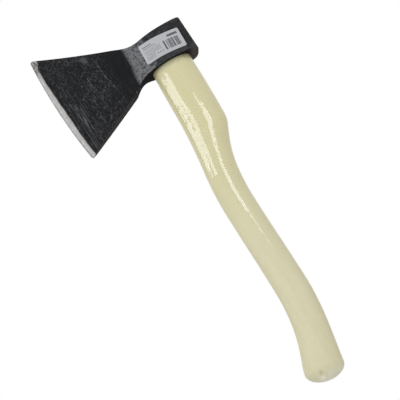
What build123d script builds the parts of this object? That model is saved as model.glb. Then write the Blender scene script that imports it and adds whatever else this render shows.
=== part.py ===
from build123d import *
import os

# A small forged hatchet with a turned wooden handle. Millimetres.
# The origin is the centre of the eye's mouth, on the flat underside of the head.
# +X points to the poll, -X to the cutting edge, +Z out of the top of the head, and Y is
# across the cheeks, with the label on the -Y cheek. The handle hangs down from z = 0.

# Head, seen from the side. A reach is measured along X from the centre of the eye.
poll_wall = 10.3
poll_height = 39.7
neck_reach = 18.0
neck_height = 35.9
blade_root_reach = 47.3
blade_root_top = 44.2
blade_root_drop = 11.2
seat_wall = 1.8
edge_reach = 126.0
toe_height = 79.4
toe_setback = 2.1
heel_drop = 48.3
heel_setback = 4.8
belly_height = 28.0
toe_sweep = 1.6
corner_radius = 2.0

# Head, seen from above.
poll_thickness = 26.0
poll_flat = 7.0
poll_crown = 2.4
cheek_wall = 2.0
cheek_length = 24.0
cheek_centre = 2.5
neck_thickness = 25.0
blade_root_thickness = 15.6
blade_middle_thickness = 12.8
bevel_start_thickness = 5.2
bevel_width = 6.2
edge_land = 0.3
forged_edge_radius = 0.8

# Eye, an oval hole that is widest at its mouth and narrowest at its waist.
mouth_width = 45.4
mouth_thickness = 31.8
waist_width = 42.0
waist_thickness = 26.0
waist_height = 14.0
flare_width = 45.6
flare_thickness = 29.0

# How the tenon sits in the eye, and what spreads it.
mouth_clearance = 0.45
waist_clearance = 0.2
tenon_clearance = 0.1
tenon_inset = 0.4
wedge_thickness = 5.2
wedge_length = 26.0
kerf_width = 1.4
kerf_run_out = 4.0
steel_wedge_thickness = 3.2
steel_wedge_tip = 0.8
steel_wedge_width = 20.0
steel_wedge_length = 18.0

# Handle below the head, hung from the shoulder at z = 0.
handle_length = 363.4
swell_width = 45.6
grip_width = 33.8
grip_thickness = 24.4
butt_width = 40.6
butt_thickness = 28.6
butt_dome = 12.8
butt_tilt = 10.0
tear_width = 4.6
tear_length = 9.0
tear_depth = 0.8

# Paper label on the -Y cheek.
label_width = 45.4
label_height = 22.6
label_corner = 1.8
label_paper = 0.15
label_rise = 17.7
label_turn = -3.0

# Handle stations: drop below the head, centre along X, and how far the width is from the
# grip's to the swell's and the thickness from the grip's to the shoulder's.
upper_stations = [
    (0.0, 0.0, 0.9, 1.0),
    (30.0, -1.3, 0.98, 1.0),
    (60.0, -2.8, 1.0, 0.9),
    (75.0, -4.0, 1.0, 0.8),
    (83.0, -5.2, 0.94, 0.72),
    (92.0, -7.9, 0.67, 0.6),
    (104.0, -11.4, 0.35, 0.42),
    (120.0, -15.3, 0.12, 0.22),
    (140.0, -18.5, 0.03, 0.08),
    (165.0, -20.3, 0.0, 0.0),
]
# Height above the butt's end, centre along X, share of the butt's tilt, and how far width
# and thickness are from the grip's to the butt's.
lower_stations = [
    (113.0, -20.9, 0.0, 0.0),
    (88.0, -21.7, 0.0, 0.05),
    (63.0, -24.9, 0.2, 0.12),
    (41.0, -30.0, 0.5, 0.38),
    (23.0, -35.4, 0.8, 0.82),
    (13.0, -38.0, 1.0, 1.0),
]
section_spacing = 10.0
# How deep into the butt's dome each of its sections lies.
dome_stations = [0.0, 0.35, 0.62, 0.83, 0.954]

poll_reach = mouth_width / 2 + poll_wall
underside_reach = mouth_width / 2 + seat_wall
cheek_thickness = mouth_thickness + 2 * cheek_wall
eye_top = max(poll_height, neck_height) + 2.0
wedge_bottom = eye_top - wedge_length
steel_wedge_bottom = eye_top - steel_wedge_length
shoulder_width = mouth_width - 2 * mouth_clearance
shoulder_thickness = mouth_thickness - 2 * mouth_clearance
top_slope = (poll_height - neck_height) / (poll_reach + neck_reach)
beyond_head = edge_reach + poll_reach


def oval(plane, width, thickness):
    """One oval cross-section, its width along the plane's X."""
    with BuildSketch(plane) as section:
        Ellipse(width / 2, thickness / 2)
    return section.sketch


def eye_shape(mouth_gap, waist_gap, flare_gap):
    """The eye's own shape, made smaller all round by the gaps, from mouth to above the top."""
    sections = []
    for height, width, thickness, gap in (
        (0.0, mouth_width, mouth_thickness, mouth_gap),
        (waist_height, waist_width, waist_thickness, waist_gap),
        (eye_top, flare_width, flare_thickness, flare_gap),
    ):
        sections.append(oval(Plane.XY.offset(height), width - 2 * gap, thickness - 2 * gap))
    return loft(sections, mode=Mode.PRIVATE)


def head_side(plane):
    """The head's side outline as a face."""
    poll_bottom = (poll_reach, 0)
    poll_top = (poll_reach, poll_height)
    neck_top = (-neck_reach, neck_height)
    root_top = (-blade_root_reach, blade_root_top)
    root_bottom = (-blade_root_reach, -blade_root_drop)
    toe = (toe_setback - edge_reach, toe_height)
    belly = (-edge_reach, belly_height)
    heel = (heel_setback - edge_reach, -heel_drop)
    seat_end = (-underside_reach, 0)
    with BuildSketch(plane) as side:
        with BuildLine():
            Line(seat_end, poll_bottom)
            Line(poll_bottom, poll_top)
            Line(poll_top, neck_top)
            blade_top = SagittaArc(root_top, toe, toe_sweep)
            Spline(neck_top, root_top, tangents=((-1, -top_slope), blade_top % 0))
            ThreePointArc(toe, belly, heel)
            Line(heel, root_bottom)
            Spline(root_bottom, seat_end, tangents=((0.79, 0.61), (1, 0)))
        make_face()
        fillet(side.vertices().sort_by(Axis.X)[:2], corner_radius)
    return side.sketch


def head_plan(plane):
    """The head's outline from above, with the cheeks swelling round the eye."""
    blade_middle = (blade_root_reach + edge_reach - bevel_width) / 2
    flat_end = edge_reach - 0.8 * bevel_width
    with BuildSketch(plane) as plan:
        with BuildLine():
            poll_side = (poll_reach - poll_crown, poll_thickness / 2)
            flat = Line((poll_reach, 0), (poll_reach, poll_flat / 2))
            TangentArc(flat @ 1, poll_side, tangent=(0, 1))
            blade = ThreePointArc(
                (-blade_root_reach, blade_root_thickness / 2),
                (-blade_middle, blade_middle_thickness / 2),
                (-flat_end, bevel_start_thickness / 2),
            )
            Spline(
                poll_side,
                (cheek_centre + cheek_length / 2, cheek_thickness / 2),
                (cheek_centre - cheek_length / 2, cheek_thickness / 2),
                (-underside_reach, neck_thickness / 2),
                (-blade_root_reach, blade_root_thickness / 2),
                tangents=((-0.8, 0.6), blade % 0),
            )
            tip = Line(blade @ 1, blade @ 1 + (blade % 1) * 2 * bevel_width)
            Line(tip @ 1, ((tip @ 1).X, 0))
            mirror(about=Plane.XZ)
        make_face()
    return plan.sketch


def top_cut(drop):
    """The plane that lies the drop below the sloping top of the head, facing up."""
    return Plane(
        origin=(poll_reach, 0, poll_height - drop),
        x_dir=(1, 0, top_slope),
        z_dir=(-top_slope, 0, 1),
    )


def bevel_cutter():
    """The ring of steel ground off the -Y side to make the cutting edge's bevel."""
    edge_arc = ThreePointArc(
        (toe_setback - edge_reach, 0, toe_height),
        (-edge_reach, 0, belly_height),
        (heel_setback - edge_reach, 0, -heel_drop),
    )
    centre = edge_arc.arc_center
    edge_x = centre.X - edge_arc.radius
    rise = (bevel_start_thickness - edge_land) / 2 / bevel_width
    overlap = bevel_width / 2
    with BuildSketch(Plane.XY.offset(centre.Z)) as wedge:
        with BuildLine():
            Polyline(
                (edge_x - overlap, rise * overlap - edge_land / 2),
                (edge_x + bevel_width + overlap, -rise * (bevel_width + overlap) - edge_land / 2),
                (edge_x + bevel_width + overlap, -cheek_thickness),
                (edge_x - overlap, -cheek_thickness),
                close=True,
            )
        make_face()
    axis = Axis((centre.X, 0, centre.Z), (0, 1, 0))
    return revolve(wedge.sketch, axis=axis, mode=Mode.PRIVATE)


def handle_stations():
    """Height, centre along X, tilt, width and thickness at every station, from the top down."""
    stations = []
    for drop, centre, width_share, thickness_share in upper_stations:
        width = grip_width + width_share * (swell_width - grip_width)
        thickness = grip_thickness + thickness_share * (shoulder_thickness - grip_thickness)
        stations.append((-drop, centre, 0.0, width, thickness))
    stations[0] = (0.0, 0.0, 0.0, shoulder_width, shoulder_thickness)
    for rise, centre, tilt_share, share in lower_stations:
        width = grip_width + share * (butt_width - grip_width)
        thickness = grip_thickness + share * (butt_thickness - grip_thickness)
        stations.append((rise - handle_length, centre, tilt_share * butt_tilt, width, thickness))
    return stations


def between(stations, height):
    """The values at a height between two stations, on a smooth curve through all of them."""
    last = len(stations) - 1
    above = max(i for i in range(last) if stations[i][0] >= height or i == 0)
    top, bottom = stations[above], stations[above + 1]
    before, after = stations[max(above - 1, 0)], stations[min(above + 2, last)]
    span = bottom[0] - top[0]
    t = (height - top[0]) / span
    values = []
    for value_before, start, end, value_after in zip(before[1:], top[1:], bottom[1:], after[1:]):
        start_rate = span * (end - value_before) / (bottom[0] - before[0])
        end_rate = span * (value_after - start) / (after[0] - top[0])
        bend = 2 * start - 2 * end + start_rate + end_rate
        turn = 3 * end - 3 * start - 2 * start_rate - end_rate
        values.append(start + t * (start_rate + t * (turn + t * bend)))
    return values


def handle_sections():
    """Evenly spaced cross-sections from the shoulder under the head down to the butt's rim."""
    stations = handle_stations()
    rim_height = stations[-1][0]
    count = round(-rim_height / section_spacing)
    sections = []
    for step in range(count + 1):
        height = rim_height * step / count
        centre, tilt, width, thickness = between(stations, height)
        plane = Plane((centre, 0, height)).rotated((0, tilt, 0))
        sections.append(oval(plane, width, thickness))
    return sections


def butt_sections():
    """The domed end, from its rim to the small flat that the lathe's centre left."""
    rim_rise, rim_centre, _, _ = lower_stations[-1]
    rim = Plane((rim_centre, 0, rim_rise - handle_length)).rotated((0, butt_tilt, 0))
    sections = []
    for depth_share in dome_stations:
        size = (1 - depth_share**2) ** 0.5
        plane = rim.offset(-depth_share * butt_dome)
        sections.append(oval(plane, size * butt_width, size * butt_thickness))
    return sections


def butt_tear():
    """The splinter torn off the butt's -Y side when it was cut from the lathe's stub."""
    rim_rise, rim_centre, _, _ = lower_stations[-1]
    place = (rim_centre - 7.2, -0.83 * butt_thickness / 2, rim_rise - handle_length - 4.7)
    face = Plane(origin=place, x_dir=(0.95, -0.17, -0.26), z_dir=(-0.304, -0.834, -0.461))
    with BuildSketch(face.offset(-tear_depth)) as tear:
        with BuildLine():
            Polyline(
                (-0.15 * tear_width, tear_length / 2),
                (-tear_width / 2, -tear_length / 2),
                (tear_width / 2, -tear_length / 2),
                (0.2 * tear_width, 0.1 * tear_length),
                close=True,
            )
        make_face()
    return extrude(tear.sketch, amount=4 * tear_depth, mode=Mode.PRIVATE)


with BuildPart() as axe_head:
    extrude(head_side(Plane.XZ.offset(-cheek_thickness)), amount=2 * cheek_thickness)
    extrude(
        head_plan(Plane.XY.offset(-beyond_head)),
        amount=2 * beyond_head,
        mode=Mode.INTERSECT,
    )
    cutter = bevel_cutter()
    add(cutter, mode=Mode.SUBTRACT)
    add(mirror(cutter, about=Plane.XZ, mode=Mode.PRIVATE), mode=Mode.SUBTRACT)
    rims = axe_head.edges().filter_by(
        lambda edge: abs(edge.center().Y) > bevel_start_thickness / 2
        and edge.center().X > bevel_width + corner_radius - edge_reach
    )
    poll_edges = axe_head.edges().filter_by(Axis.Y).group_by(Axis.X)[-1]
    poll_corner = poll_reach - poll_crown
    smooth_seams = rims.filter_by(Axis.Z).filter_by(
        lambda edge: abs(edge.center().X - poll_corner) > forged_edge_radius
    )
    fillet(rims - smooth_seams + poll_edges, forged_edge_radius)
    add(eye_shape(0, 0, 0), mode=Mode.SUBTRACT)
axe_head.part.label = "axe_head"

with BuildPart() as handle_blank:
    add(eye_shape(mouth_clearance, waist_clearance, tenon_clearance))
    split(bisect_by=top_cut(tenon_inset), keep=Keep.BOTTOM)
    loft(handle_sections())
    loft(butt_sections())
    add(butt_tear(), mode=Mode.SUBTRACT)

with BuildPart() as wedge_blank:
    with BuildSketch(Plane.YZ.offset(-beyond_head)) as taper:
        with BuildLine():
            Polyline(
                (-wedge_thickness / 2, eye_top),
                (-kerf_width / 2, wedge_bottom),
                (kerf_width / 2, wedge_bottom),
                (wedge_thickness / 2, eye_top),
                close=True,
            )
        make_face()
    extrude(taper.sketch, amount=2 * beyond_head)

with BuildPart() as steel_wedge:
    with BuildSketch(Plane.XZ.offset(-steel_wedge_width / 2)) as blade_taper:
        with BuildLine():
            Polyline(
                (-steel_wedge_thickness / 2, eye_top),
                (-steel_wedge_tip / 2, steel_wedge_bottom),
                (steel_wedge_tip / 2, steel_wedge_bottom),
                (steel_wedge_thickness / 2, eye_top),
                close=True,
            )
        make_face()
    extrude(blade_taper.sketch, amount=steel_wedge_width)
    split(bisect_by=top_cut(tenon_inset), keep=Keep.BOTTOM)
steel_wedge.part.label = "steel_wedge"

with BuildPart() as kerf_wedge:
    add(wedge_blank.part)
    add(handle_blank.part, mode=Mode.INTERSECT)
    add(steel_wedge.part, mode=Mode.SUBTRACT)
kerf_wedge.part.label = "kerf_wedge"

with BuildPart() as handle:
    add(handle_blank.part)
    add(wedge_blank.part, mode=Mode.SUBTRACT)
    add(steel_wedge.part, mode=Mode.SUBTRACT)
    with Locations((0, 0, wedge_bottom)):
        Box(
            2 * beyond_head,
            kerf_width,
            kerf_run_out,
            align=(Align.CENTER, Align.CENTER, Align.MAX),
            mode=Mode.SUBTRACT,
        )
handle.part.label = "handle"

with BuildPart() as label:
    extrude(head_plan(Plane((0, -label_paper, 0))), amount=poll_height)
    extrude(head_plan(Plane.XY), amount=poll_height, mode=Mode.SUBTRACT)
    with BuildSketch(Plane.XZ) as label_outline:
        with Locations((0, label_rise)):
            RectangleRounded(label_width, label_height, label_corner, rotation=label_turn)
    extrude(label_outline.sketch, amount=cheek_thickness, mode=Mode.INTERSECT)
label.part.label = "label"

os.makedirs("parts", exist_ok=True)
for piece in (axe_head, handle, kerf_wedge, steel_wedge, label):
    export_step(piece.part, f"parts/{piece.part.label}.step")
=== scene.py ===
import math

import bpy
from mathutils import Matrix, Vector

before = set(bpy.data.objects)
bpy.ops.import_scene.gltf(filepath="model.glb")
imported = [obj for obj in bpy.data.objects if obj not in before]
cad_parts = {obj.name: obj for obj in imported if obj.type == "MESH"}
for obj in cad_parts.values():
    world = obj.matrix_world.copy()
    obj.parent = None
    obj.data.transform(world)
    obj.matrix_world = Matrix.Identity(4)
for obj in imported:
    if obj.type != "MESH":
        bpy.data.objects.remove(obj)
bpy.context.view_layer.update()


# ---------------------------------------------------------------------------
# Axe head. One steel forging, left black with its forge scale and a thin oil.
# The neck is brushed to grey metal with a painted glint, the cutting edge is ground
# bright on both sides, and handling has scratched the scale on the blade.
# ---------------------------------------------------------------------------


class Mixture:
    """Nodes that mix a finish or a light, in the tree of one material or world."""

    def __init__(self, owner):
        owner.use_nodes = True
        self.tree = owner.node_tree

    def feed(self, socket, value):
        """Gives a socket a plain value, or links it to what another node makes."""
        if isinstance(value, bpy.types.NodeSocket):
            self.tree.links.new(value, socket)
        else:
            socket.default_value = value

    def add(self, kind, inputs=None, **settings):
        """A new node. Its inputs go by a socket's number or name, its settings by name."""
        made = self.tree.nodes.new(kind)
        for name, value in settings.items():
            setattr(made, name, value)
        for socket, value in (inputs or {}).items():
            self.feed(made.inputs[socket], value)
        return made

    def sum(self, *terms):
        return self.chain("ADD", terms)

    def product(self, *terms):
        return self.chain("MULTIPLY", terms)

    def most(self, *terms):
        return self.chain("MAXIMUM", terms)

    def chain(self, operation, terms):
        total = terms[0]
        for term in terms[1:]:
            total = self.math(operation, total, term)
        return total

    def math(self, operation, *values, clamp=False):
        inputs = dict(enumerate(values))
        return self.add("ShaderNodeMath", inputs, operation=operation, use_clamp=clamp).outputs[0]

    def rest(self, share):
        """What is left of one when a share is taken."""
        return self.math("SUBTRACT", 1.0, share)

    def fade(self, value, start, end, low=0.0, high=1.0):
        """A smooth step from low to high while the value goes from start to end."""
        if start > end:
            start, end, low, high = end, start, high, low
        inputs = {0: value, 1: start, 2: end, 3: low, 4: high}
        made = self.add("ShaderNodeMapRange", inputs, interpolation_type="SMOOTHSTEP")
        return made.outputs[0]

    def within(self, value, start, end, soft):
        """One between start and end, with soft ends of that width."""
        rising = self.fade(value, start - soft / 2, start + soft / 2)
        falling = self.fade(value, end + soft / 2, end - soft / 2)
        return self.product(rising, falling)


mm_per_metre = 1000.0


class Finish(Mixture):
    """One piece's finish, with the surface shader that its nodes feed.

    Lengths in it are millimetres: self.place is the point on the piece."""

    def __init__(self, name):
        self.material = bpy.data.materials.new(name)
        super().__init__(self.material)
        self.shader = self.tree.nodes["Principled BSDF"]
        metres = self.add("ShaderNodeTexCoord").outputs["Object"]
        self.place = self.vector("SCALE", metres, Scale=mm_per_metre)
        self.x, self.y, self.z = self.split(self.place)

    def split(self, vector):
        return self.add("ShaderNodeSeparateXYZ", {0: vector}).outputs

    def vector(self, operation, first, second=None, **named):
        inputs = {0: first, **named}
        if second is not None:
            inputs[1] = second
        return self.add("ShaderNodeVectorMath", inputs, operation=operation).outputs["Vector"]

    def measure(self, operation, first, second):
        """A number worked out from two vectors, such as DOT_PRODUCT or DISTANCE."""
        inputs = {0: first, 1: second}
        return self.add("ShaderNodeVectorMath", inputs, operation=operation).outputs["Value"]

    def side_view(self, x):
        """The point moved onto the XZ plane, with this x in place of its own."""
        return self.add("ShaderNodeCombineXYZ", {0: x, 1: 0.0, 2: self.z}).outputs["Vector"]

    def near(self, middle, reach, core):
        """One within the core of a point, gone at its reach, both in millimetres."""
        return self.fade(self.measure("DISTANCE", self.place, middle), reach, core)

    def cloud(self, spacing, detail=2.0, roughness=0.5, shift=(0.0, 0.0, 0.0)):
        """Noise whose features are about the spacing apart, along X, Y and Z."""
        per_mm = Vector([1.0 / s for s in spacing])
        stretched = self.vector("MULTIPLY", self.place, per_mm)
        moved = self.vector("ADD", stretched, Vector(shift))
        inputs = {"Vector": moved, "Scale": 1.0, "Detail": detail, "Roughness": roughness}
        return self.add("ShaderNodeTexNoise", inputs).outputs["Fac"]

    def spread(self, field, low=0.0, high=1.0):
        """A noise field's usual span, 0.3 to 0.7, drawn out to run from low to high."""
        return self.fade(field, 0.3, 0.7, low, high)

    def hair_lines(self, field, thin):
        """Fine lines where a noise field crosses its middle."""
        off_middle = self.math("ABSOLUTE", self.math("SUBTRACT", field, 0.5))
        return self.fade(off_middle, thin, 0.3 * thin)

    def stroke(self, start, end, width):
        """A wavering line between two points of the side view, (x, z), full at its middle."""
        run = Vector((end[0] - start[0], 0.0, end[1] - start[1]))
        waver = self.cloud((3.0, 3.0, 7.0), detail=2.0)
        aside = self.sum(self.x, self.spread(waver, -0.5, 0.5))
        offset = self.vector("SUBTRACT", self.side_view(aside), Vector((start[0], 0.0, start[1])))
        share = self.measure("DOT_PRODUCT", offset, run / run.length_squared)
        along = self.math("MULTIPLY", share, 1.0, clamp=True)
        nearest = self.vector("SCALE", run, Scale=along)
        return self.fade(self.measure("DISTANCE", offset, nearest), width, 0.25 * width)

    def mix(self, share, first, second):
        inputs = {0: share, 6: first, 7: second}
        return self.add("ShaderNodeMix", inputs, data_type="RGBA").outputs[2]

    def relief(self, height):
        """The surface normal with a height, in millimetres, raised on it."""
        inputs = {"Height": height, "Strength": 1.0, "Distance": 1.0 / mm_per_metre}
        return self.add("ShaderNodeBump", inputs).outputs["Normal"]

    def set(self, **inputs):
        """Feeds the surface shader, by its sockets' names with underscores for spaces."""
        for name, value in inputs.items():
            self.feed(self.shader.inputs[name.replace("_", " ")], value)

    def cover(self, node):
        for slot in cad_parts[node].material_slots:
            slot.material = self.material


def grey(level, warmth=0.0):
    """A grey of that level, with a little more red and less blue for its warmth."""
    return (level * (1 + warmth), level, level * (1 - warmth), 1.0)


scale_black = grey(0.0065, -0.04)
scale_worn = grey(0.079, -0.02)
streak_grey = grey(0.115, -0.01)
rubbed_cheek = grey(0.05, -0.02)
brushed_neck_and_glint = grey(0.188, -0.01)
neck_pit = grey(0.034, -0.03)
bare_scratch = grey(0.14, -0.01)
warm_underside_reflection = grey(0.036, 0.12)
warm_poll_reflection = grey(0.065, 0.12)
ground_steel = (0.43, 0.42, 0.40, 1.0)
ground_shade = (0.318, 0.31, 0.292, 1.0)
ground_dull = (0.267, 0.26, 0.245, 1.0)
toe_brown = grey(0.105, 0.09)
groove_black = grey(0.006)
edge_arc_centre = Vector((491.2, 0.0, 28.53))
edge_arc_radius = 617.2
bevel_width = 6.1
band_front, band_back = -37.2, -16.0
# Each scratch is where it starts and ends in (x, z), its width, and its depth up to one.
scratches = [
    ((-66.9, 37.4), (-65.4, 20.0), 0.5, 1.0),
    ((-65.4, 20.0), (-63.4, 2.3), 0.45, 0.8),
    ((-71.7, 39.5), (-70.6, 33.6), 0.45, 0.7),
    ((-83.6, 29.4), (-83.3, 23.3), 0.5, 0.7),
    ((-83.3, 23.3), (-82.9, 15.5), 0.5, 0.6),
    ((-106.1, 20.6), (-106.9, 6.8), 0.45, 0.45),
    ((-83.2, -17.6), (-84.2, -23.4), 0.5, 0.6),
    ((-76.0, 53.5), (-73.9, 40.7), 0.7, 0.4),
    ((-74.0, 52.3), (-72.8, 49.6), 1.4, 0.7),
    ((-47.5, -9.6), (-46.7, -11.0), 0.8, 1.0),
    ((-62.3, -3.0), (-61.0, -8.5), 0.4, 0.5),
    ((-91.5, 44.0), (-91.9, 38.0), 0.4, 0.4),
    ((-99.0, 8.0), (-99.6, 0.0), 0.4, 0.4),
    ((25.0, 37.0), (21.0, 36.2), 1.6, 0.45),
]

steel = Finish("blackened_steel")
facing = steel.split(steel.add("ShaderNodeNewGeometry").outputs["Normal"])
sideways = steel.math("ABSOLUTE", facing["Y"])
facing_down = steel.fade(facing["Z"], -0.4, -0.8)
near_side = steel.fade(steel.y, -0.5, -1.0)
beside_bevel = steel.fade(steel.x, -88.0, -114.0)

# Handling has worn the scale to grey specks and fine hairs, least towards the neck.
speckle = steel.cloud((2.6, 2.6, 3.0), detail=4.0, roughness=0.75)
fine_specks = steel.cloud((1.0, 1.0, 3.0), detail=2.0, roughness=0.8, shift=(3.0, 8.0, 1.0))
blotch = steel.cloud((12.0, 12.0, 16.0), detail=2.0)
handled = steel.product(
    steel.fade(steel.x, -50.0, -76.0, 0.08, 1.0), steel.fade(steel.x, -92.0, -108.0, 1.0, 0.8)
)
worn = steel.product(
    steel.most(
        steel.product(steel.fade(speckle, 0.5, 0.66), 0.45), steel.fade(fine_specks, 0.54, 0.62)
    ),
    steel.fade(blotch, 0.36, 0.62, 0.42, 0.86),
    handled,
)
curl = steel.cloud((3.4, 3.4, 9.0), detail=1.5, roughness=0.6, shift=(9.0, 2.0, 5.0))
hairs = steel.product(
    steel.hair_lines(curl, 0.03),
    steel.fade(steel.cloud((2.2, 2.2, 3.6), detail=1.0, shift=(1.0, 0.0, 3.0)), 0.46, 0.56),
    steel.fade(steel.cloud((9.0, 9.0, 12.0), shift=(5.0, 0.0, 2.0)), 0.4, 0.55, 0.25, 1.0),
    handled,
)

# Long marks run down the blade beside the bevel, light and dark, brighter low down.
drag = steel.cloud((2.0, 2.0, 40.0), detail=1.5, roughness=0.6)
streaked = steel.product(
    steel.hair_lines(drag, 0.045),
    steel.fade(steel.cloud((4.0, 4.0, 26.0), shift=(7.0, 0.0, 1.0)), 0.40, 0.52),
    steel.fade(beside_bevel, 0.0, 1.0, 0.12, 0.9),
    steel.fade(steel.z, 60.0, 12.0, 0.2, 1.0),
)
# One slanting smudge lies by the blade's top edge, on the near side.
smudge_slant = steel.sum(steel.x, steel.product(steel.z, 0.25))
smudge = steel.product(
    steel.within(smudge_slant, -66.5, -61.5, 3.0),
    steel.within(steel.z, 45.0, 53.0, 4.0),
    near_side,
    0.9,
)
colour = steel.mix(steel.most(worn, hairs, streaked, smudge), scale_black, scale_worn)
low_streaks = steel.product(
    streaked, steel.fade(steel.z, 22.0, 0.0), steel.fade(steel.x, -68.0, -86.0), 0.8
)
colour = steel.mix(low_streaks, colour, streak_grey)
grooves = steel.cloud((2.0, 2.0, 30.0), detail=2.0, shift=(2.0, 5.0, 0.0))
dark_lines = steel.product(steel.fade(grooves, 0.52, 0.66), beside_bevel, 0.8)
colour = steel.mix(dark_lines, colour, groove_black)

# The cheeks round the eye are rubbed a little, most along their lower edge.
cheek_rub = steel.product(
    steel.fade(steel.x, -22.0, -14.0),
    steel.fade(sideways, 0.55, 0.85),
    steel.fade(speckle, 0.38, 0.62, 0.2, 0.8),
    steel.fade(steel.z, 9.0, 3.0, 0.6, 1.7),
)
colour = steel.mix(steel.math("MINIMUM", cheek_rub, 1.0), colour, rubbed_cheek)

# The neck is brushed to a band of pitted grey metal, painted lighter in part as a
# glint of the left soft box, and the cheeks' top edge is worn in streaks of the same metal.
pits = steel.cloud((2.1, 2.1, 2.1), detail=4.0, roughness=0.7, shift=(5.0, 1.0, 2.0))
band_reach = steel.sum(
    steel.x, steel.product(blotch, 1.5), steel.fade(steel.z, 24.0, 0.0, 0.0, 3.2)
)
band_end = steel.sum(steel.x, steel.product(pits, 5.0))
band = steel.product(
    steel.fade(band_reach, band_front - 1.0, band_front + 4.0),
    steel.fade(band_end, band_back + 5.0, band_back + 1.5),
    steel.fade(sideways, 0.5, 0.8),
)
pit_clusters = steel.cloud((3.6, 3.6, 4.4), detail=3.0, roughness=0.65, shift=(2.5, 6.0, 7.0))
top_streaks = steel.cloud((6.0, 3.0, 1.8), detail=3.0, roughness=0.65, shift=(4.0, 3.0, 0.0))
top_wear = steel.product(
    steel.fade(steel.z, 27.0, 31.0),
    steel.fade(steel.x, 24.0, -14.0, 0.08, 0.75),
    steel.fade(top_streaks, 0.48, 0.64),
    steel.fade(sideways, 0.4, 0.8),
    steel.fade(steel.x, -40.0, -30.0),
)
pits_by_place = steel.sum(pit_clusters, steel.fade(steel.x, -34.0, -18.0, 0.05, -0.05))
smooth_metal = steel.product(
    steel.fade(pits, 0.38, 0.52, 0.3, 1.0), steel.fade(pits_by_place, 0.40, 0.49, 0.12, 1.0)
)
neck_colour = steel.mix(smooth_metal, neck_pit, brushed_neck_and_glint)
colour = steel.mix(steel.most(band, top_wear), colour, neck_colour)

# Scratches, broken along their length, show on the near side alone.
broken = steel.fade(steel.cloud((1.2, 1.2, 4.0), detail=3.0, roughness=0.7), 0.42, 0.58)
strokes = [
    steel.product(steel.stroke(start, end, width), depth) for start, end, width, depth in scratches
]
scratched = steel.product(steel.most(*strokes), broken, near_side)
colour = steel.mix(scratched, colour, bare_scratch)

# The undersides of the blade and the poll are painted warm brown, a painted reflection of
# the handle and the floor, and the blade's rounded edges are paler, most where they face down.
underside_reflection_mask = steel.product(facing_down, steel.fade(steel.x, -42.0, -56.0))
colour = steel.mix(underside_reflection_mask, colour, warm_underside_reflection)
poll_reflection_mask = steel.product(facing_down, steel.fade(steel.x, 20.0, 27.0))
colour = steel.mix(poll_reflection_mask, colour, warm_poll_reflection)
paler_edges = steel.product(
    steel.within(sideways, 0.45, 0.8, 0.3),
    steel.fade(facing["Z"], 0.1, -0.3, 0.25, 1.0),
    steel.fade(steel.x, -38.0, -48.0, 0.1, 1.0),
    broken,
)
colour = steel.mix(steel.product(paler_edges, 0.8), colour, bare_scratch)

# The bevel follows the cutting edge's arc. It narrows towards the toe and the heel, and
# widens again at the toe's tip, where it is tarnished.
from_centre = steel.measure("DISTANCE", steel.side_view(steel.x), edge_arc_centre)
wander = steel.spread(steel.cloud((2.0, 2.0, 9.0), detail=3.0), -0.15, 0.15)
narrowing = steel.sum(
    steel.fade(steel.z, 8.0, 66.0, 0.0, 1.7),
    steel.fade(steel.z, -8.0, -22.0, 0.0, 0.6),
    steel.fade(steel.z, 66.5, 72.0, 0.0, -2.4),
)
bevel_start = edge_arc_radius - bevel_width
into_bevel = steel.math("SUBTRACT", steel.sum(from_centre, wander), narrowing)
bevel = steel.fade(into_bevel, bevel_start - 0.1, bevel_start + 0.35)
grinding = steel.cloud((0.5, 0.5, 5.0), detail=3.0, roughness=0.65, shift=(1.0, 7.0, 0.0))
ground = steel.mix(steel.spread(grinding), ground_shade, ground_steel)
edge_line = steel.fade(from_centre, edge_arc_radius - 1.6, edge_arc_radius - 0.5)
inner_shade = steel.fade(into_bevel, bevel_start + 2.2, bevel_start + 0.4, 0.0, 0.7)
ground = steel.mix(steel.most(edge_line, inner_shade), ground, ground_dull)
tarnish_spots = steel.cloud((1.6, 1.6, 2.6), detail=2.0, roughness=0.6, shift=(3.0, 3.0, 8.0))
toe_tarnish = steel.product(
    steel.fade(steel.z, 56.0, 66.0), steel.fade(tarnish_spots, 0.40, 0.56, 0.25, 1.0)
)
ground = steel.mix(toe_tarnish, ground, toe_brown)
colour = steel.mix(bevel, colour, ground)

steel_roughness = steel.sum(
    steel.spread(speckle, 0.42, 0.56),
    steel.product(facing_down, 0.4),
    steel.product(band, 0.05),
    steel.product(bevel, 0.02),
)
steel_height = steel.sum(
    steel.product(speckle, 0.05),
    steel.product(drag, 0.02),
    steel.product(steel.fade(pits, 0.38, 0.52), band, 0.05),
    steel.product(scratched, -0.05),
    steel.product(grinding, bevel, 0.02),
)
steel.set(
    Base_Color=colour,
    Metallic=steel.most(bevel, steel.product(scratched, 0.6)),
    Roughness=steel_roughness,
    Specular_IOR_Level=0.10,
    Normal=steel.relief(steel_height),
)
steel.cover("axe_head")


# ---------------------------------------------------------------------------
# Label. A coated paper sticker on the near cheek, with round corners. Its
# print has no words: a dark bar, a block of stripes, ruled lines, rows of
# dashes and three small squares.
# ---------------------------------------------------------------------------

label_length = 45.4
label_height = 22.6
label_middle = Vector((0.0, 0.0, 17.7))
label_turn = math.radians(-3.0)
paper_white = grey(0.51, -0.008)
paper_shade = grey(0.46, -0.008)
paper_rim = grey(0.4)
paper_print = grey(0.035)
rim_width = 0.5
row_height = 0.9
square_side = 1.4

paper = Finish("label_paper")
across = Vector((math.cos(label_turn), 0.0, math.sin(label_turn)))
upward = Vector((-math.sin(label_turn), 0.0, math.cos(label_turn)))
from_middle = paper.vector("SUBTRACT", paper.place, label_middle)
printed_x = paper.sum(paper.measure("DOT_PRODUCT", from_middle, across), label_length / 2)
printed_z = paper.sum(paper.measure("DOT_PRODUCT", from_middle, upward), label_height / 2)


def printed(left, right, bottom, top, soft=0.25):
    """A printed rectangle, in millimetres from the label's lower left corner."""
    wide = paper.within(printed_x, left, right, soft)
    return paper.product(wide, paper.within(printed_z, bottom, top, soft))


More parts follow.
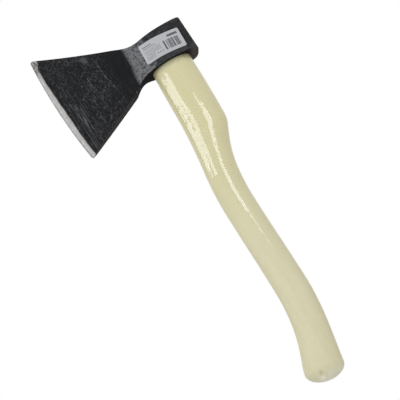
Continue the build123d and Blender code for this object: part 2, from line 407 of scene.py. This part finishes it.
# Stripes of uneven width, a dark bar, and rows of dashes in place of words.
bars = paper.add(
    "ShaderNodeTexNoise",
    {"W": paper.product(printed_x, 0.62), "Scale": 1.0, "Detail": 1.5, "Roughness": 0.8},
    noise_dimensions="1D",
).outputs["Fac"]
stripes = paper.product(printed(24.0, 41.5, 3.6, 14.4), paper.fade(bars, 0.45, 0.5))
dark_bar = printed(30.8, 42.4, 16.6, 19.2, 0.5)
rows = [printed(2.6, 20.6, level, level + row_height) for level in (12.0, 10.2, 8.4)]
rows += [printed(2.6, 12.4, level, level + row_height) for level in (6.6, 4.8, 3.0)]
gaps = paper.cloud((1.1, 1.1, 0.7), detail=1.0, shift=(7.0, 0.0, 2.0))
dashes = paper.product(paper.most(*rows), paper.fade(gaps, 0.42, 0.5, 0.15, 0.6))
ink = paper.most(paper.product(stripes, 0.95), paper.product(dark_bar, 0.95), dashes)
# Ruled lines and squares, each by left, right, bottom and top and how dark its ink is.
ruled = [
    (2.6, 12.5, 17.6, 18.6, 0.8),
    (2.6, 16.2, 15.5, 16.2, 0.7),
    (2.6, 20.4, 13.9, 14.3, 0.35),
]
squares = [(left, left + square_side, 4.5, 5.8, 0.75) for left in (14.2, 17.0, 19.8)]
for left, right, bottom, top, strength in ruled + squares:
    ink = paper.most(ink, paper.product(printed(left, right, bottom, top), strength))

# The paper's fibre shows a little, its rim is dulled, and the ink has worn patchy.
fibre = paper.cloud((0.5, 0.5, 0.5), detail=3.0, roughness=0.6)
patchy = paper.fade(paper.cloud((0.7, 0.7, 0.4), shift=(4.0, 0.0, 0.0)), 0.3, 0.55, 0.55, 1.0)
sheet = paper.mix(paper.spread(fibre), paper_shade, paper_white)
rim = paper.most(
    paper.fade(printed_x, rim_width, 0.0),
    paper.fade(printed_z, rim_width, 0.0),
    paper.fade(printed_x, label_length - rim_width, label_length),
    paper.fade(printed_z, label_height - rim_width, label_height),
)
sheet = paper.mix(paper.product(rim, 0.25), sheet, paper_rim)
paper.set(
    Base_Color=paper.mix(paper.product(ink, patchy), sheet, paper_print),
    Roughness=paper.spread(fibre, 0.38, 0.46),
    Specular_IOR_Level=0.35,
    Normal=paper.relief(paper.product(fibre, 0.012)),
)
paper.cover("label")


# ---------------------------------------------------------------------------
# Handle. One piece of pale wood, copy-turned to an easy curve, then dipped in
# a glossy clear lacquer that has set with fine ripples. The tenon in the eye
# and its sawn top are bare wood.
# ---------------------------------------------------------------------------

wood_pale = (0.70, 0.645, 0.355, 1.0)
wood_butt = (0.765, 0.72, 0.475, 1.0)
wood_deep = (0.60, 0.55, 0.295, 1.0)
wood_bare = (0.55, 0.42, 0.23, 1.0)
wood_bare_dark = (0.36, 0.24, 0.11, 1.0)
speck_brown = (0.20, 0.15, 0.08, 1.0)
painted_shadow_brown = (0.33, 0.30, 0.17, 1.0)
torn_brown = (0.66, 0.57, 0.34, 1.0)
butt_fleck = (0.95, 0.93, 0.84, 1.0)
painted_lit_tip = (0.86, 0.82, 0.62, 1.0)
butt_start = -353.0
butt_tear_place = Vector((-45.2, -11.9, -355.1))
butt_fleck_place = Vector((-46.5, -9.0, -362.0))
# Each speck is a place on the near side and a radius.
specks = [
    (Vector((-6.5, -15.0, -36.0)), 0.7),
    (Vector((-7.4, -10.6, -129.0)), 0.9),
    (Vector((2.0, -14.8, -62.0)), 0.4),
]

wood = Finish("lacquered_wood")
grain = wood.cloud((1.1, 1.1, 45.0), detail=3.0, roughness=0.55)
figure = wood.cloud((7.0, 7.0, 90.0), detail=2.0)
mottle = wood.cloud((4.0, 4.0, 5.0), detail=3.0, roughness=0.6)

# The wood pales towards the butt, with a little grain and mottle showing through.
wood_colour = wood.mix(wood.fade(wood.z, -90.0, -260.0), wood_pale, wood_butt)
# The end is painted paler still, as painted light from below.
wood_colour = wood.mix(wood.fade(wood.z, butt_start, butt_start - 9.0), wood_colour, painted_lit_tip)
deepening = wood.sum(
    wood.fade(grain, 0.35, 0.75, 0.0, 0.10),
    wood.fade(figure, 0.35, 0.7, 0.0, 0.12),
    wood.fade(mottle, 0.35, 0.7, 0.0, 0.09),
)
wood_colour = wood.mix(deepening, wood_colour, wood_deep)

# Brown specks, torn fibres and a pale fleck at the butt, and a painted shadow under the head.
for middle, radius in specks:
    spot = wood.near(middle, radius, 0.3 * radius)
    wood_colour = wood.mix(wood.product(spot, 0.6), wood_colour, speck_brown)
torn_fibres = wood.product(
    wood.near(butt_tear_place, 3.4, 1.0), wood.fade(grain, 0.35, 0.6, 0.3, 0.8)
)
wood_colour = wood.mix(torn_fibres, wood_colour, torn_brown)
wood_colour = wood.mix(wood.near(butt_fleck_place, 5.0, 2.5), wood_colour, butt_fleck)
painted_head_shadow = wood.fade(wood.sum(wood.z, wood.product(mottle, 3.0)), -6.0, 0.5, 0.0, 0.7)
wood_colour = wood.mix(painted_head_shadow, wood_colour, painted_shadow_brown)

# Inside the eye the wood is bare, and its sawn top shows rings and pores.
in_eye = wood.fade(wood.z, -0.5, 1.0)
end_rings = wood.add(
    "ShaderNodeTexWave",
    {"Vector": wood.place, "Scale": 0.18, "Distortion": 3.0, "Detail": 2.0, "Detail Scale": 0.2},
    bands_direction="Y",
).outputs["Fac"]
pores = wood.cloud((0.35, 0.35, 6.0), detail=2.0)
bare_wood = wood.mix(
    wood.most(wood.product(end_rings, 0.6), wood.fade(pores, 0.6, 0.75)), wood_bare, wood_bare_dark
)
wood_colour = wood.mix(in_eye, wood_colour, bare_wood)

# The lacquer is rippled near the head, has slow waves below, and thins at the butt.
ripples = wood.cloud((2.4, 2.4, 1.9), detail=0.0, roughness=0.5)
waves = wood.cloud((10.0, 10.0, 7.0), detail=0.0, shift=(6.0, 1.0, 9.0))
rough_start = wood.product(
    wood.fade(wood.z, -105.0, -75.0, 0.0, 1.0), wood.fade(wood.z, -24.0, -46.0, 0.04, 1.0)
)
lacquer_height = wood.sum(
    wood.product(ripples, rough_start, 0.017),
    wood.product(waves, wood.fade(wood.z, -16.0, -60.0, 0.0, 0.07)),
    wood.product(pores, in_eye, 0.08),
)
lacquered = wood.relief(lacquer_height)
wood.set(
    Base_Color=wood_colour,
    Roughness=wood.spread(mottle, 0.46, 0.56),
    Specular_IOR_Level=0.3,
    Coat_Weight=wood.product(wood.rest(in_eye), wood.fade(wood.z, -270.0, -150.0, 0.15, 1.0)),
    Coat_Roughness=0.03,
    Coat_IOR=1.5,
    Normal=lacquered,
    Coat_Normal=lacquered,
)
wood.cover("handle")


# ---------------------------------------------------------------------------
# Kerf wedge. A slip of darker wood driven into the saw kerf, along the eye,
# and sawn off level with the handle's top. It is bare and shows end grain.
# ---------------------------------------------------------------------------

slip_light = (0.44, 0.29, 0.15, 1.0)
slip_dark = (0.25, 0.14, 0.065, 1.0)

slip = Finish("wedge_wood")
slip_pores = slip.cloud((0.3, 0.3, 5.0), detail=2.0, roughness=0.6)
slip_rings = slip.cloud((1.4, 0.5, 30.0), detail=2.0)
slip_colour = slip.mix(
    slip.most(slip.fade(slip_pores, 0.55, 0.72), slip.fade(slip_rings, 0.4, 0.7, 0.0, 0.7)),
    slip_light,
    slip_dark,
)
slip.set(
    Base_Color=slip_colour,
    Roughness=slip.spread(slip_pores, 0.62, 0.8),
    Specular_IOR_Level=0.3,
    Normal=slip.relief(slip.product(slip_pores, 0.1)),
)
slip.cover("kerf_wedge")


# ---------------------------------------------------------------------------
# Steel wedge. A small plain steel wedge driven across the wooden one. Its
# head is bright where the hammer struck it, and grey with mill scale beside.
# ---------------------------------------------------------------------------

wedge_bright = grey(0.46, 0.01)
wedge_dull = grey(0.2, 0.04)

pin = Finish("wedge_steel")
dents = pin.cloud((1.5, 1.5, 1.5), detail=3.0, roughness=0.6)
rolled = pin.cloud((0.2, 3.0, 0.8), detail=2.0)
pin_colour = pin.mix(
    pin.product(pin.fade(dents, 0.35, 0.6), pin.fade(rolled, 0.3, 0.6, 0.6, 1.0)),
    wedge_dull,
    wedge_bright,
)
pin.set(
    Base_Color=pin_colour,
    Metallic=1.0,
    Roughness=pin.spread(dents, 0.52, 0.34),
    Normal=pin.relief(pin.sum(pin.product(dents, 0.12), pin.product(rolled, 0.01))),
)
pin.cover("steel_wedge")


# ---------------------------------------------------------------------------
# Studio. The hatchet hangs by its head above a pale floor in a white room. Two
# groups of soft boxes, left and right, show in the lacquer as its highlights,
# and two fills that show in nothing light the rest.
# ---------------------------------------------------------------------------

floor_height = -0.80
floor_half = 8.0
floor_glow = 0.24
floor_grey = grey(0.86)
floor_pale = grey(0.9)
white = (1.0, 1.0, 1.0, 1.0)
corners = [(-1, -1), (1, -1), (1, 1), (-1, 1)]
floor_mesh = bpy.data.meshes.new("studio_floor")
floor_mesh.from_pydata(
    [(floor_half * x, floor_half * y, floor_height) for x, y in corners], [], [(0, 1, 2, 3)]
)
floor = bpy.data.objects.new("studio_floor", floor_mesh)
bpy.context.scene.collection.objects.link(floor)


def looked_at(mixture):
    """One for rays that show the surface, even in metal or glass, none for light it gives."""
    ray = mixture.add("ShaderNodeLightPath").outputs
    return mixture.most(ray["Is Camera Ray"], ray["Is Glossy Ray"], ray["Is Transmission Ray"])


pale_floor = Finish("pale_floor")
dust = pale_floor.cloud((60.0, 60.0, 60.0), detail=3.0)
pale_floor.set(
    Base_Color=pale_floor.mix(dust, floor_grey, floor_pale),
    Roughness=0.8,
    Specular_IOR_Level=0.1,
    Emission_Color=white,
    Emission_Strength=pale_floor.product(looked_at(pale_floor), floor_glow),
)
floor.data.materials.append(pale_floor.material)


def toward(azimuth, elevation, distance):
    """A point that far from the head, at an azimuth from -Y towards +X, in degrees."""
    turn, rise = math.radians(azimuth), math.radians(elevation)
    return distance * Vector(
        (math.sin(turn) * math.cos(rise), -math.cos(turn) * math.cos(rise), math.sin(rise))
    )


cool_white = (0.95, 0.98, 1.08)


def soft_box(name, place, aim, width, height, power, shape="RECTANGLE", roll=0, mirrored=True):
    """A soft lamp aimed at a point, in metres, watts and degrees. Glossy faces mirror it."""
    lamp = bpy.data.lights.new(name, "AREA")
    lamp.shape = shape
    lamp.size, lamp.size_y = width, height
    lamp.energy = power
    lamp.color = cool_white
    holder = bpy.data.objects.new(name, lamp)
    bpy.context.scene.collection.objects.link(holder)
    away = (Vector(place) - Vector(aim)).normalized()
    side = Vector((0, 0, 1)).cross(away).normalized()
    turned = Matrix((side, away.cross(side), away)).transposed().to_4x4()
    rolled = Matrix.Rotation(math.radians(roll), 4, "Z")
    holder.matrix_world = Matrix.Translation(place) @ turned @ rolled
    holder.visible_camera = False
    holder.visible_glossy = mirrored


left_aim = (0.0, 0.0, -0.06)
soft_box("left_box_end", toward(-71, 22.1, 1.06), left_aim, 0.47, 0.071, 0.50)
soft_box("left_box", toward(-44, 21.3, 1.06), left_aim, 0.50, 0.088, 0.655)
soft_box("left_box_skirt", toward(-33, 16.5, 1.05), left_aim, 0.32, 0.08, 0.365, roll=-5)
soft_box("left_box_gusset", toward(-62.5, 18.7, 1.06), left_aim, 0.17, 0.055, 0.14)
right_aim = (0.0, 0.0, -0.10)
soft_box("right_box_peak", toward(17.5, 15.4, 1.0), right_aim, 0.07, 0.025, 0.03)
soft_box("right_box", toward(20, 10.1, 1.01), right_aim, 0.40, 0.16, 0.82, "ELLIPSE", roll=12)
soft_box("right_box_foot", toward(22, 3.9, 1.0), right_aim, 0.15, 0.06, 0.11, roll=-12)
broad_aim, near_aim = (0.0, 0.0, -0.15), (0.0, 0.0, -0.05)
soft_box("broad_fill", toward(-30, -9, 2.2), broad_aim, 1.8, 1.8, 10.5, mirrored=False)
soft_box("near_fill", (0.40, -0.30, 0.28), near_aim, 0.30, 0.30, 0.35, mirrored=False)

room_level = 0.585
world = bpy.data.worlds.new("white_room")
room = Mixture(world)
background = room.tree.nodes["Background"]
room.feed(background.inputs["Color"], white)
room.feed(background.inputs["Strength"], room.fade(looked_at(room), 0.0, 1.0, room_level, 1.0))
bpy.context.scene.world = world

camera_place = (-0.3167, -1.4095, -0.5807)
camera_right = Vector((0.8558, 0.0, -0.5173)).normalized()
camera_forward = Vector((0.1769, 0.9397, 0.2927)).normalized()
camera_up = camera_right.cross(camera_forward).normalized()
lens = bpy.data.cameras.new("camera")
lens.lens = 135.0
lens.sensor_width = 36.0
lens.clip_end = 50.0
camera = bpy.data.objects.new("camera", lens)
bpy.context.scene.collection.objects.link(camera)
camera_turn = Matrix((camera_right, camera_up, -camera_forward)).transposed().to_4x4()
camera.matrix_world = Matrix.Translation(camera_place) @ camera_turn
bpy.context.scene.camera = camera
bpy.context.scene.view_settings.view_transform = "Standard"
